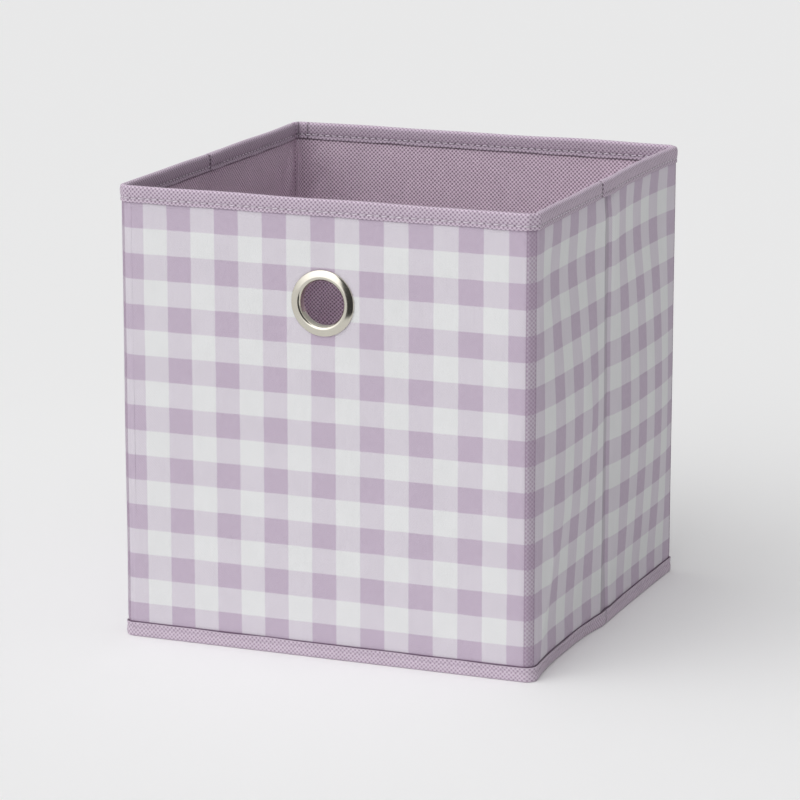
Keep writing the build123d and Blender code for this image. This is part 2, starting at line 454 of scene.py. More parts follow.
def foot_shape(s, x, z, outer):
    line = FOOT_TOP - FOOT_STITCH_DOWN
    on_leg = z > 1.4 * MM
    dip = np.where(on_leg, stitch_dip(s, z - line), 0)
    swell = np.where(on_leg, 0.2 * MM * np.clip(np.sin(math.pi * z / line), 0, 1), 0)
    out = np.where(outer, swell - dip, 0)
    edge = np.clip((z - line) / FOOT_STITCH_DOWN, 0, 1)
    top = 0.3 * MM * edge * ripple(s, 0 * z, 7, 45 * MM)
    return x - bow(s, z) + 0.5 * corner_pull(s, z) - out - 0.2 * MM * edge, z + top


def stitches(name, s0, s1, z, inset, sign, pull, material):
    """A row of lock stitches from s0 to s1, each a short thread that dives into the tape at both ends."""
    starts = np.arange(math.ceil(s0 / PITCH - 0.5), math.ceil(s1 / PITCH - 0.5)) * PITCH
    along = np.linspace(0.09, 0.91, 9)
    s = starts[:, None] + along * PITCH
    t = (along - 0.09) / 0.82
    proud = (0.13 * np.sqrt(np.abs(np.sin(math.pi * t))) - 0.42 * np.abs(2 * t - 1) ** 6) * MM
    lean = 0.22 * MM * (t - 0.5)
    sides = 6
    around = np.arange(sides) * 2 * math.pi / sides
    radius = THREAD_R * np.sqrt(np.clip(1.02 - np.abs(2 * t - 1) ** 4, 0.04, 1))
    ring_x = radius[:, None] * np.cos(around)
    ring_z = radius[:, None] * np.sin(around)
    ss = s[:, :, None] + 0 * ring_x
    height = z + lean[:, None] + ring_z + 0 * ss
    dip = stitch_dip(ss, 0 * ss)
    cloth = inset - bow(ss, height) + pull * corner_pull(ss, height)
    x = cloth + dip * sign - sign * (proud[:, None] + ring_x)
    verts = place(ss, x, height).reshape(-1, 3)
    faces = thread_faces(len(starts), len(along), sides, sign > 0)
    uv = np.stack([ss, height], -1).reshape(-1, 2)
    return new_object(name, verts, faces, {"cloth": uv}, material, 80)


def thread_faces(count, rings, sides, forward):
    """Faces of a row of short closed tubes, whose points run round each ring, ring by ring, tube by tube."""
    c, r, a = np.meshgrid(np.arange(count), np.arange(rings - 1), np.arange(sides), indexing="ij")
    base = (c * rings + r) * sides
    a2 = (a + 1) % sides
    quads = np.stack([base + a, base + sides + a, base + sides + a2, base + a2], -1).reshape(-1, 4)
    first = np.arange(count)[:, None] * rings * sides + np.arange(sides)
    last = (first + (rings - 1) * sides)[:, ::-1]
    faces = quads.tolist() + first.tolist() + last.tolist()
    return faces if forward else [face[::-1] for face in faces]


# ---------------------------------------------------------------- materials


class Nodes:
    """A short way to write a material's nodes."""

    def __init__(self, name, **values):
        self.material = bpy.data.materials.new(name)
        self.material.use_nodes = True
        self.tree = self.material.node_tree
        self.shader = self.tree.nodes["Principled BSDF"]
        for key, value in values.items():
            self.shader.inputs[key.replace("_", " ")].default_value = value

    def add(self, kind, inputs=(), output=0, **settings):
        node = self.tree.nodes.new(kind)
        for key, value in settings.items():
            setattr(node, key, value)
        for i, value in enumerate(inputs):
            if value is None:
                continue
            if hasattr(value, "is_linked") or hasattr(value, "links"):
                self.tree.links.new(value, node.inputs[i])
            else:
                node.inputs[i].default_value = value
        return node.outputs[output]

    def maths(self, operation, *inputs, clamp=False):
        return self.add("ShaderNodeMath", inputs, operation=operation, use_clamp=clamp)

    def plus(self, a, b):
        return self.maths("ADD", a, b)

    def minus(self, a, b):
        return self.maths("SUBTRACT", a, b)

    def times(self, a, b):
        return self.maths("MULTIPLY", a, b)

    def uv(self, name):
        node = self.tree.nodes.new("ShaderNodeUVMap")
        node.uv_map = name
        parts = self.tree.nodes.new("ShaderNodeSeparateXYZ")
        self.tree.links.new(node.outputs[0], parts.inputs[0])
        return node.outputs[0], parts.outputs[0], parts.outputs[1]

    def noise(self, vector, scale, detail=2.0, rough=0.5, stretch=None):
        if stretch:
            vector = self.add("ShaderNodeMapping", [vector, None, None, stretch])
        node = self.tree.nodes.new("ShaderNodeTexNoise")
        self.tree.links.new(vector, node.inputs["Vector"])
        node.inputs["Scale"].default_value = scale
        node.inputs["Detail"].default_value = detail
        node.inputs["Roughness"].default_value = rough
        return node.outputs["Fac"]

    def mix(self, share, a, b):
        node = self.tree.nodes.new("ShaderNodeMix")
        node.data_type = "RGBA"
        for socket, value in zip((node.inputs[0], node.inputs[6], node.inputs[7]), (share, a, b)):
            if hasattr(value, "links"):
                self.tree.links.new(value, socket)
            else:
                socket.default_value = value if isinstance(value, float) else (*value, 1)
        return node.outputs[2]

    def lattice(self, u, v, pitch):
        """Height between 0 and 1 of a grid of round dents that runs on the diagonal."""
        k = 2 * math.pi / (pitch * math.sqrt(2))
        a = self.plus(u, v)
        b = self.minus(u, v)
        ca = self.maths("COSINE", self.times(a, k))
        cb = self.maths("COSINE", self.times(b, k))
        return self.maths("MULTIPLY_ADD", self.plus(ca, cb), 0.25, 0.5)

    def bell(self, value, place, width):
        """1 where the value is at a place, falling to 0 within about twice the width."""
        t = self.maths("DIVIDE", self.minus(value, place), width)
        return self.maths("EXPONENT", self.times(self.times(t, t), -1.0))

    def bump(self, height, depth, strength=1.0):
        node = self.tree.nodes.new("ShaderNodeBump")
        node.inputs["Strength"].default_value = strength
        node.inputs["Distance"].default_value = depth
        self.tree.links.new(height, node.inputs["Height"])
        self.tree.links.new(node.outputs[0], self.shader.inputs["Normal"])

    def colour(self, socket):
        self.tree.links.new(socket, self.shader.inputs["Base Color"])
        return self.material


def brightness(nodes, colour, share, low, high):
    """The colour times a number between low and high."""
    node = nodes.tree.nodes.new("ShaderNodeMix")
    node.data_type, node.blend_type = "RGBA", "MULTIPLY"
    node.inputs[0].default_value = 1.0
    grey = nodes.mix(share, (low,) * 3, (high,) * 3)
    nodes.tree.links.new(colour, node.inputs[6])
    nodes.tree.links.new(grey, node.inputs[7])
    return node.outputs[2]


def gingham():
    """Printed check on nonwoven: white, one ink, and two inks where a column crosses a row. The corners show
    the coarse dots of the layer behind. Painted shade darkens a line down each side of a corner, the cloth
    just under the rim tape and just above the foot tape, and a line and a band at each side crease."""
    n = Nodes("gingham", Roughness=0.82, Specular_IOR_Level=0.25, Sheen_Weight=0.06, Sheen_Roughness=0.5)
    _, u, v = n.uv("print")
    cloth, cu, cv = n.uv("cloth")
    _, height_up, _ = n.uv("seam")
    wander = n.times(n.minus(n.noise(cloth, 90.0), 0.5), 0.6 * MM)
    k, first_row = math.pi / CHECK, 6.13 * MM
    col = n.maths("COSINE", n.times(n.plus(u, wander), k))
    row = n.maths("SINE", n.times(n.plus(n.minus(v, first_row), wander), k))
    col = n.maths("MULTIPLY_ADD", col, 9.0, 0.5, clamp=True)
    row = n.maths("MULTIPLY_ADD", row, 9.0, 0.5, clamp=True)
    streaks = n.noise(cloth, 1.0, 3.0, 0.6, stretch=(900, 45, 1))
    blotches = n.noise(cloth, 1.0, 3.0, 0.6, stretch=(420, 300, 1))
    one = n.mix(streaks, (0.640, 0.590, 0.660), (0.722, 0.684, 0.738))
    two = n.mix(blotches, (0.492, 0.402, 0.512), (0.584, 0.495, 0.600))
    white = n.mix(streaks, (0.740, 0.746, 0.752), (0.815, 0.820, 0.826))
    once = n.mix(n.maths("MAXIMUM", col, row), white, one)
    ink = n.mix(n.times(col, row), once, two)
    ink = brightness(n, ink, n.noise(cloth, 35.0, 3.0, 0.6), 0.95, 1.03)
    around = n.maths("WRAP", n.minus(cu, HALF + ARC / 2 - 1.1 * MM), RUN / 2, -RUN / 2)
    corner_half = 3.2 * MM
    corner = n.maths("LESS_THAN", n.maths("ABSOLUTE", around), corner_half)
    # painted shade: a dark line down each side of a corner, where the board stops
    line = n.bell(n.maths("ABSOLUTE", around), corner_half, 0.4 * MM)
    fine, coarse = n.lattice(cu, cv, 1.25 * MM), n.lattice(cu, cv, 1.9 * MM)
    ink = brightness(n, ink, fine, 0.92, 1.01)
    ink = brightness(n, ink, corner, 1.0, 0.86)
    ink = n.mix(n.times(corner, 0.3), ink, (0.47, 0.37, 0.48))
    dots = n.times(corner, n.maths("MULTIPLY_ADD", coarse, -0.62, 0.62))
    ink = n.mix(dots, ink, (0.24, 0.16, 0.24))
    # the colour of the painted shade and painted shadow on the gingham
    shade = (0.20, 0.13, 0.20)
    ink = n.mix(n.times(line, 0.45), ink, shade)
    # painted shadow under the rim tape's edge and painted shade in the gap above the foot tape
    shadow = n.maths("GREATER_THAN", height_up, RIM_FOOT - 0.7 * MM)
    gap_shade = n.bell(height_up, FOOT_TOP + 0.2 * MM, 0.6 * MM)
    ink = n.mix(n.maths("MAXIMUM", n.times(shadow, 0.25), gap_shade), ink, shade)
    # painted shade along each side crease: a dark line at the fold and a darker band over the groove
    for wall, sign in ((1, -1), (3, 1)):  # a dark line and a shaded band at each side crease
        ink = brightness(n, ink, n.bell(cu, at(wall, sign * 9.8 * MM), 0.55 * MM), 1.0, 0.55)
        from_middle = n.maths("ABSOLUTE", n.minus(cu, at(wall, sign * 4.2 * MM)))
        ink = brightness(n, ink, n.maths("LESS_THAN", from_middle, 5.6 * MM), 1.0, 0.80)
    weave = n.times(corner, n.times(coarse, 3.0))
    fibre = n.times(n.noise(cloth, 2600.0, 2.0, 0.7), 0.55)
    n.bump(n.plus(n.plus(fine, weave), fibre), 0.05 * MM)
    return n.colour(ink)


def nonwoven(name, ridge, pit, pitch=1.9 * MM, depth=0.2 * MM, sewn=False):
    """Plain nonwoven with a diagonal grid of welded dots, darker in the dots. A sewn tape also has a line
    pressed in by its stitches, darkened by painted shade, painted shade in a needle hole between each two
    and in its folds, a dark line at its joint, and a painted highlight along its crest. Without, it is the
    lining, with a painted shadow where it goes in under the tape, and pale along the corners."""
    n = Nodes(name, Roughness=0.78, Specular_IOR_Level=0.3, Sheen_Weight=0.10, Sheen_Roughness=0.45)
    cloth, u, v = n.uv("cloth")
    warp = n.times(n.minus(n.noise(cloth, 260.0), 0.5), 0.7 * MM)
    lattice = n.lattice(n.plus(u, warp), n.minus(v, warp), pitch)
    raised = n.maths("SMOOTH_MIN", n.times(lattice, 1.45), 1.0, 0.3)
    colour = n.mix(raised, pit, ridge)
    colour = brightness(n, colour, n.noise(cloth, 60.0, 4.0, 0.6), 0.90, 1.08)
    fibre = n.noise(cloth, 2400.0, 2.0, 0.7)
    colour = brightness(n, colour, fibre, 0.88, 1.10)
    if sewn:
        _, away, fold = n.uv("seam")
        # painted shade in the needle holes, stronger on the tape's inside leg
        hole = n.maths("WRAP", u, PITCH / 2, -PITCH / 2)
        hole = n.times(n.bell(hole, 0.0, 0.5 * MM), n.bell(away, 0.0, 0.5 * MM))
        # painted shade in the line that the stitches press in
        colour = brightness(n, colour, n.bell(away, 0.0, 0.7 * MM), 1.0, 0.82)
        # painted highlight along the crest of the rim tape
        colour = brightness(n, colour, n.maths("GREATER_THAN", away, 6.6 * MM), 1.0, 1.2)
        inner_leg = n.maths("GREATER_THAN", v, 14 * MM)
        hole = n.times(hole, n.maths("MULTIPLY_ADD", inner_leg, 0.6, 0.35))
        # painted shade in the needle holes and in the tape's folds; the seam map also carries a dark line at
        # the rim tape's joint
        colour = brightness(n, colour, n.maths("MAXIMUM", hole, fold), 1.0, 0.2)
    else:
        _, height_up, _ = n.uv("seam")
        around = n.maths("WRAP", n.minus(u, HALF + ARC / 2), RUN / 2, -RUN / 2)
        colour = brightness(n, colour, n.bell(around, 0.0, 0.8 * MM), 1.0, 1.2)
        # painted shadow on the lining just under the rim tape's inner edge
        colour = brightness(n, colour, n.bell(height_up, RIM_INNER_FOOT - 0.4 * MM, 0.6 * MM), 1.0, 0.35)
    n.bump(n.plus(raised, n.times(fibre, 0.3)), depth)
    return n.colour(colour)


def thread_material(name, dark, pale):
    n = Nodes(name, Roughness=0.55, Specular_IOR_Level=0.4, Sheen_Weight=0.2)
    _, u, v = n.uv("cloth")
    across = n.maths("MULTIPLY_ADD", v, 1.6, u)
    twist = n.maths("SINE", n.times(across, 2 * math.pi / (0.55 * MM)))
    share = n.maths("MULTIPLY_ADD", twist, 0.5, 0.5)
    n.bump(share, 0.05 * MM)
    return n.colour(n.mix(share, dark, pale))


def nickel_material():
    n = Nodes("nickel", Metallic=1.0)
    vector = n.add("ShaderNodeTexCoord", output=3)
    roughness = n.maths("MULTIPLY_ADD", n.noise(vector, 900.0, 3.0), 0.08, 0.10)
    n.tree.links.new(roughness, n.shader.inputs["Roughness"])
    cloud = n.noise(vector, 120.0)
    return n.colour(n.mix(cloud, (0.66, 0.625, 0.545), (0.72, 0.69, 0.61)))


def card_material():
    n = Nodes("card", Roughness=0.9)
    vector = n.add("ShaderNodeTexCoord", output=3)
    speck = n.noise(vector, 1500.0, 4.0, 0.7)
    n.bump(speck, 0.05 * MM)
    return n.colour(n.mix(speck, (0.36, 0.33, 0.29), (0.50, 0.47, 0.42)))


GINGHAM = gingham()
LINING = nonwoven("lining", (0.84, 0.69, 0.81), (0.19, 0.115, 0.175))
BINDING = nonwoven("binding", (0.63, 0.53, 0.63), (0.23, 0.16, 0.23), depth=0.16 * MM, sewn=True)
THREAD = thread_material("thread", (0.62, 0.54, 0.63), (0.86, 0.80, 0.87))
FOOT_BINDING = nonwoven(
    "foot_binding", (0.655, 0.56, 0.655), (0.35, 0.265, 0.35), depth=0.16 * MM, sewn=True
)
FOOT_THREAD = thread_material("foot_thread", (0.42, 0.34, 0.43), (0.58, 0.49, 0.58))
NICKEL = nickel_material()
CARD_MATERIAL = card_material()

# ---------------------------------------------------------------- where each stretch of wall belongs


PANELS = {
    "front": (at(0, -HALF + MARGIN), at(0, HALF - MARGIN)),
    "right_front": (at(1, -HALF + MARGIN), at(1, -CREASE)),
    "right_rear": (at(1, CREASE), at(1, HALF - MARGIN)),
    "back": (at(2, -HALF + MARGIN), at(2, HALF - LAP)),
    "left_rear": (at(3, -HALF + LAP), at(3, -CREASE)),
    "left_front": (at(3, CREASE), at(3, HALF - MARGIN)),
}
# Soft strips: the stretch and the two bodies they join
CORNER_ENDS = (HALF - MARGIN, HALF + ARC + MARGIN)
STRIPS = {
    "front_right_corner": (at(0, CORNER_ENDS[0]), at(0, CORNER_ENDS[1]), "front", "right_front"),
    "right_crease": (at(1, -CREASE), at(1, CREASE), "right_front", "right_rear"),
    "back_right_corner": (at(1, CORNER_ENDS[0]), at(1, CORNER_ENDS[1]), "right_rear", "back"),
    "left_crease": (at(3, -CREASE), at(3, CREASE), "left_rear", "left_front"),
    "front_left_corner": (at(3, CORNER_ENDS[0]), at(3, CORNER_ENDS[1]), "left_front", "front"),
}
BACK_LAP = (at(2, HALF - LAP), at(2, HALF + ARC))
LEFT_LAP = (at(2, HALF), at(2, HALF + ARC + LAP))


def steps(s0, s1, size):
    return np.linspace(s0, s1, max(2, round((s1 - s0) / size)) + 1)


def bend(piece, s0, s1):
    """Bake a soft strip's placement into its mesh. The ends of the part that bends are worked out but not
    used.
    """
    middle = (s0 + s1) / 2
    half = CREASE_BEND if "crease" in piece.name else ARC / 2
    ends = [Vector(place(middle + d, OUTER_IN, HEIGHT / 2)) for d in (-half, half)]
    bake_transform(piece)


def flatten(piece, panel):
    """Give each panel its own copy of its mesh, except the front, which is left as it is."""
    if panel == "front":
        return
    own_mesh(piece)


@dataclass
class Layer:
    """One of the three cloths that go round the wall."""

    name: str
    section: tuple
    shape: object
    step: float  # between points along the wall
    material: object
    inset: float  # of its outside face
    length: float  # of the flat cloth, up the wall
    panel_node: str  # end of the CAD node's name on a panel
    strip_node: str  # and on a corner or crease
    slot: str

    @property
    def is_tape(self):
        return self.name == "rim_tape"

    def sweep(self, part, s0, s1, step, shape=None):
        seam = rim_seam if self.is_tape else sheet_seam
        shape = shape or self.shape
        piece = sweep(f"{self.name}_{part}", steps(s0, s1, step), self.section, shape, self.material, seam)
        return piece


OUTER = Layer(
    name="outer",
    section=upright(OUTER_IN, FABRIC, OUTER_BOTTOM, SHEET_TOP),
    shape=outer_shape,
    step=2.5 * MM,
    material=GINGHAM,
    inset=OUTER_IN,
    length=HEIGHT - OUTER_BOTTOM,
    panel_node="outer_fabric",
    strip_node="fabric",
    slot="gingham",
)
INNER = Layer(
    name="lining",
    section=upright(LINING_IN, FABRIC, LINING_BOTTOM, SHEET_TOP),
    shape=lining_shape,
    step=2.5 * MM,
    material=LINING,
    inset=LINING_IN,
    length=HEIGHT - OUTER_BOTTOM,
    panel_node="lining",
    strip_node="lining",
    slot="lining",
)
RIM_TAPE = Layer(
    name="rim_tape",
    section=folded_tape(),
    shape=rim_shape,
    step=PITCH / 6,
    material=BINDING,
    inset=0.0,
    length=RIM_TAPE_WIDTH,
    panel_node="rim_binding",
    strip_node="binding",
    slot="binding",
)


def build_walls():
    for layer in (OUTER, INNER, RIM_TAPE):
        for panel, (s0, s1) in PANELS.items():
            piece = layer.sweep(panel, s0, s1, layer.step)
            if panel == "front" and not layer.is_tape:
                cut_hole(piece)
            if not layer.is_tape:
                flatten(piece, panel)
            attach(piece, panel)
            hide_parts(f"{panel}_{layer.panel_node}")
        fine = min(layer.step, 0.8 * MM)
        for strip, (s0, s1, a, b) in STRIPS.items():
            piece = layer.sweep(strip, s0, s1, fine)
            bend(piece, s0, s1)
            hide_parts(f"{strip}_{layer.strip_node}")
        for piece in build_open_corner(layer, fine):
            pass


def build_open_corner(layer, step):
    """The back left corner: one lap rides on the back and one on the left side, one just inside the
    other, so that they slide over each other as the ring of walls folds."""

    def lapped(s, x, z, outer):
        inset, height = layer.shape(s, x, z, outer)
        into = np.clip((LEFT_LAP[1] - s) / LAP, 0, 1)
        under = (0.8 if layer.is_tape else 0.55) * MM * into * into * (3 - 2 * into)
        inner = (x > RIM_DEPTH / 2) if layer.is_tape else layer is INNER
        return inset + np.where(inner, -under, under), height - (under if layer.is_tape else 0)

    corner = layer.sweep("back_left_corner", *BACK_LAP, step)
    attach(corner, "back")
    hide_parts(f"back_left_corner_{layer.strip_node}")
    lap = layer.sweep("back_left_lap", *LEFT_LAP, step, shape=lapped)
    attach(lap, "left_rear")
    return corner, lap


def cut_hole(piece):
    """The grommet's hole through a front sheet."""
    radius, facing_front = BORE + 0.7 * MM, (math.pi / 2, 0, 0)
    bpy.ops.mesh.primitive_cylinder_add(vertices=96, radius=radius, depth=30 * MM, rotation=facing_front)
    cutter = bpy.context.object
    cutter.location = (0, GROMMET.y, GROMMET.z)
    modifier = piece.modifiers.new("hole", "BOOLEAN")
    modifier.object, modifier.operation, modifier.solver = cutter, "DIFFERENCE", "EXACT"
    bpy.context.view_layer.update()
    mesh = bpy.data.meshes.new_from_object(piece.evaluated_get(bpy.context.evaluated_depsgraph_get()))
    piece.modifiers.clear()
    piece.data = mesh
    bpy.data.objects.remove(cutter)


def build_boards():
    section = upright(BOARD_IN + 0.15 * MM, CARD - 0.3 * MM, 10 * MM, SHEET_TOP, step=6 * MM)
    for panel, (s0, s1) in PANELS.items():
        piece = sweep(f"board_{panel}", steps(s0, s1, 6 * MM), section, board_shape, CARD_MATERIAL)
        if panel == "front":
            cut_hole(piece)
        flatten(piece, panel)
        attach(piece, panel)
        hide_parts(f"{panel}_board")


def build_rim_stitches():
    rows = (
        # side, height, inset, direction out of the tape, share of the corner's pull
        ("outside", RIM_FOOT + RIM_STITCH_UP, 0.0, 1, 1.15),
        ("inside", RIM_INNER_FOOT + RIM_STITCH_UP, RIM_DEPTH, -1, 0.3),
    )
    for side, z, inset, sign, pull in rows:
        for panel, (s0, s1) in PANELS.items():
            piece = stitches(f"stitches_{side}_{panel}", s0, s1, z, inset, sign, pull, THREAD)
            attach(piece, panel)
            if side == "outside":
                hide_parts(f"{panel}_rim_thread")
        for strip, (s0, s1, a, b) in STRIPS.items():
            piece = stitches(f"stitches_{side}_{strip}", s0, s1, z, inset, sign, pull, THREAD)
            bend(piece, s0, s1)
        piece = stitches(f"stitches_{side}_back_left_corner", *BACK_LAP, z, inset, sign, pull, THREAD)
        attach(piece, "back")


def build_foot():
    """The foot tape, its stitches and the base fabric fold up towards the front with the walls."""
    whole = steps(at(0, -HALF), at(4, -HALF), PITCH / 6)
    tape = sweep("foot_tape", whole, foot_tape(), foot_shape, FOOT_BINDING, foot_seam)
    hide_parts("foot_binding")
    row = FOOT_TOP - FOOT_STITCH_DOWN
    thread = stitches("foot_stitches", whole[0], whole[-1], row, 0.15 * MM, 1, 0.5, FOOT_THREAD)
    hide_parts("foot_thread")
    base = base_sheet()
    for piece in (tape, thread, base):
        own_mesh(piece)
        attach(piece, "front")


def base_sheet():
    """The soft base, sewn in under the foot tape."""
    lo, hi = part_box("base_fabric")
    n = 90
    m = n + 1
    tucked_in = 4.0 * MM
    g = np.linspace(lo.x + tucked_in, hi.x - tucked_in, m)
    x, y = np.meshgrid(g, g, indexing="ij")
    unevenness = 0.1 * MM * np.abs(ripple(x, y, 12, 80 * MM))
    top = np.stack([x, y, hi.z + 0 * x], -1).reshape(-1, 3)
    low = np.stack([x, y, lo.z + unevenness], -1).reshape(-1, 3)
    verts = np.concatenate([top, low])
    i, j = np.meshgrid(np.arange(n), np.arange(n), indexing="ij")
    a = (i * m + j).reshape(-1)
    up = np.stack([a, a + m, a + m + 1, a + 1], -1)
    down = up[:, ::-1] + m * m
    edge = []
    for k in range(n):
        left, right = (k, k + 1), (n * m + k + 1, n * m + k)
        front, back = ((k + 1) * m, k * m), (k * m + n, (k + 1) * m + n)
        for p, q in (left, right, front, back):
            edge.append([q + m * m, p + m * m, p, q])
    uv = verts[:, :2].copy()
    faces = up.tolist() + down.tolist() + edge
    piece = new_object("base_sheet", verts, faces, {"cloth": uv, "seam": 0 * uv}, LINING)
    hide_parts("base_fabric", "base_seam_allowance")
    return piece


def insert_cover(name, top):
    """Half of the insert's cover: a sheet over one face, turned round the edge to meet the other half."""
    half = INSERT_HIGH.x
    corner_radius, turned_edge = 5.0 * MM, 3.0 * MM
    middle = (INSERT_LOW.z + INSERT_HIGH.z) / 2
    thick = (INSERT_HIGH.z - INSERT_LOW.z) / 2
    inner = np.linspace(0, 1, 34)[:-1] ** 0.8 * (half - turned_edge)
    edge = np.linspace(0, math.pi / 2, 9)
    reach = np.concatenate([inner, half - turned_edge + turned_edge * np.sin(edge)])
    drop = np.concatenate([0 * inner, thick * (1 - np.cos(edge))])
    around = 240
    a = (np.arange(around) + 0.5) * 2 * math.pi / around
    c, s = np.cos(a), np.sin(a)
    verts = []
    for d, fall in zip(reach, drop):
        corner = min(corner_radius, d)
        flat = d - corner
        m = np.maximum(np.abs(c), np.abs(s))
        px, py = c / m * d, s / m * d
        ex, ey = np.abs(px) - flat, np.abs(py) - flat
        in_corner = (ex > 0) & (ey > 0)
        n = np.hypot(ex, ey) + 1e-12
        px = np.where(in_corner, np.sign(px) * (flat + ex / n * corner), px)
        py = np.where(in_corner, np.sign(py) * (flat + ey / n * corner), py)
        seam = np.exp(-(((half - INSERT_STITCH_IN - d) / (0.9 * MM)) ** 2)) * 0.35 * MM
        puff = 0.12 * MM * ripple(px, py, 21, 45 * MM) * (d < half - 6 * MM)
        z = thick - fall - seam + puff
        verts.append(np.stack([px, py, middle + (z if top else -z) + 0 * px], -1))
    outer_rows = np.stack(verts)
    inner_rows = outer_rows.copy()
    inner_rows[..., 2] += (-FABRIC if top else FABRIC) * 0.8 * (1 - 0.9 * drop / thick)[:, None]
    inner_rows[..., :2] *= (1 - (FABRIC / half) * (drop / thick))[:, None, None]
    rows = np.concatenate([outer_rows, inner_rows[::-1]])
    count = len(rows)
    i, j = np.meshgrid(np.arange(count), np.arange(around), indexing="ij")
    i2, j2 = (i + 1) % count, (j + 1) % around
    keep = i < count - 1
    quads = np.stack([i * around + j, i2 * around + j, i2 * around + j2, i * around + j2], -1)[keep]
    quads = quads.reshape(-1, 4)
    if not top:
        quads = quads[:, ::-1]
    points = rows.reshape(-1, 3)
    uv = points[:, :2].copy()
    return new_object(name, points, quads, {"cloth": uv, "seam": 0 * uv}, LINING)


def build_insert():
    """The loose floor: card in a sewn cover, with a row of stitches round its edge."""
    board = "base_insert_board"
    for face in ("top", "bottom"):
        piece = insert_cover(f"insert_cover_{face}", face == "top")
        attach(piece, "base_insert")
        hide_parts(f"base_insert_cover_{face}")
    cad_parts[board].data.materials.clear()
    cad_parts[board].data.materials.append(CARD_MATERIAL)
    thread = insert_stitches()
    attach(thread, "base_insert")
    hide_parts("base_insert_thread")


def insert_stitches():
    """A row of stitches a little way in from the insert's edge."""
    half = INSERT_HIGH.x - INSERT_STITCH_IN
    top = INSERT_HIGH.z - 0.25 * MM
    count = round(2 * half / PITCH) - 1
    sides, rings = 6, 7
    t = np.linspace(0, 1, rings)[:, None]
    around = np.arange(sides) * 2 * math.pi / sides
    radius = THREAD_R * np.sqrt(np.maximum(0.05, 1 - np.abs(2 * t - 1) ** 4))
    middles = (np.arange(count) + 0.5 - count / 2)[:, None, None] * PITCH
    along, aside, height = np.broadcast_arrays(
        middles + (t - 0.5) * PITCH * 0.8,
        -half + radius * np.cos(around),
        top + (0.22 * np.sin(math.pi * t) - 0.1) * MM + radius * np.sin(around),
    )
    edges = []
    for wall in range(4):
        c, s = math.cos(wall * math.pi / 2), math.sin(wall * math.pi / 2)
        edges.append(np.stack([along * c - aside * s, along * s + aside * c, height], -1))
    verts = np.stack(edges).reshape(-1, 3)
    uv = np.tile(np.stack([along, aside], -1).reshape(-1, 2), (4, 1))
    faces = thread_faces(4 * count, rings, sides, False)
    return new_object("insert_stitches", verts, faces, {"cloth": uv}, THREAD, 80)


# ---------------------------------------------------------------- the grommet


def lathe(name, outline, material, count=160):
    """A closed outline of (radius, distance outwards) turned about the finger hole."""
    r, out = np.array(outline).T
    a = np.arange(count) * 2 * math.pi / count
    x = r[None] * np.cos(a)[:, None]
    z = r[None] * np.sin(a)[:, None] + GROMMET.z
    y = -SIDE / 2 - out[None] + 0 * x
    verts = np.stack([x, y, z], -1).reshape(-1, 3)
    n = len(outline)
    i, j = np.meshgrid(np.arange(count), np.arange(n), indexing="ij")
    i2, j2 = (i + 1) % count, (j + 1) % n
    faces = np.stack([i * n + j, i * n + j2, i2 * n + j2, i2 * n + j], -1).reshape(-1, 4)
    uv = np.stack([verts[:, 0], verts[:, 2]], -1)
    return new_object(name, verts, faces, {"cloth": uv}, material, 50)


def curve(points, steps_each=8):
    """A rounded outline through a few points, by Catmull-Rom."""
    p = np.array(points, float)
    p = np.vstack([2 * p[0] - p[1], p, 2 * p[-1] - p[-2]])
    out = []
    for i in range(1, len(p) - 2):
        for t in np.linspace(0, 1, steps_each, endpoint=False):
            a, b, c, d = p[i - 1], p[i], p[i + 1], p[i + 2]
            second, third = 2 * a - 5 * b + 4 * c - d, 3 * b - a - 3 * c + d
            out.append(0.5 * (2 * b + (c - a) * t + second * t * t + third * t**3))
    out.append(p[-2])
    return [tuple(q) for q in out]


def build_grommet():
    """A stamped eyelet: rounded flange, funnel into the hole, and a curl rolled over the washer."""
    face, back = -OUTER_IN, -RIM_DEPTH + TAPE
    sheet = 0.6 * MM
    crest = face + 2.35 * MM
    show = curve([
        (FLANGE, face + 0.1 * MM),
        (FLANGE - 0.1 * MM, face + 0.65 * MM),
        (FLANGE - 0.6 * MM, face + 1.1 * MM),
        (FLANGE - 2.0 * MM, face + 1.7 * MM),
        (BORE + 3.3 * MM, crest - 0.15 * MM),
        (BORE + 2.4 * MM, crest),
        (BORE + 1.5 * MM, crest - 0.3 * MM),
        (BORE + 0.8 * MM, crest - 1.0 * MM),
        (BORE + 0.3 * MM, face + 0.3 * MM),
        (BORE, face - 1.2 * MM),
    ])
    curl = curve([
        (BORE, back - 0.2 * MM),
        (BORE + 0.3 * MM, back - 0.95 * MM),
        (BORE + 1.1 * MM, back - 1.25 * MM),
        (BORE + 1.95 * MM, back - 1.0 * MM),
        (BORE + 2.3 * MM, back - 0.62 * MM),
    ])
    hidden = [(BORE + sheet, back - 0.62 * MM), (BORE + sheet, face), (FLANGE - 0.3 * MM, face)]
    ring = lathe("grommet", show + curl + hidden, NICKEL)
    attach(ring, "front")
    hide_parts("grommet_ring")
    edge = 19.0 * MM
    washer = lathe("grommet_back_washer", curve([
        (edge, back),
        (edge - 0.05 * MM, back - 0.4 * MM),
        (edge - 0.6 * MM, back - 0.62 * MM),
        (edge - 1.6 * MM, back - 0.6 * MM),
        (BORE + 2.4 * MM, back - 0.58 * MM),
        (BORE + 0.7 * MM, back - 0.56 * MM),
    ], 5) + [(BORE + 0.7 * MM, back)], NICKEL)
    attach(washer, "front")
    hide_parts("grommet_washer")


# ---------------------------------------------------------------- studio

KEY, KEY_WIDTH, KEY_LIGHT = (-22, 42), 0.35, 1.77  # azimuth and elevation, softness, brightness
FILL_LIGHT, CEILING, GROUND = 0.355, 0.8, 0.8  # fill near the horizon, its share overhead, and from below
SHADING_CARD, MIRRORED_CARD = (46, 36), (33, 57)  # azimuth of the middle and elevation of the top
CARD_DARKNESS = 0.94  # share of the light that a card takes away


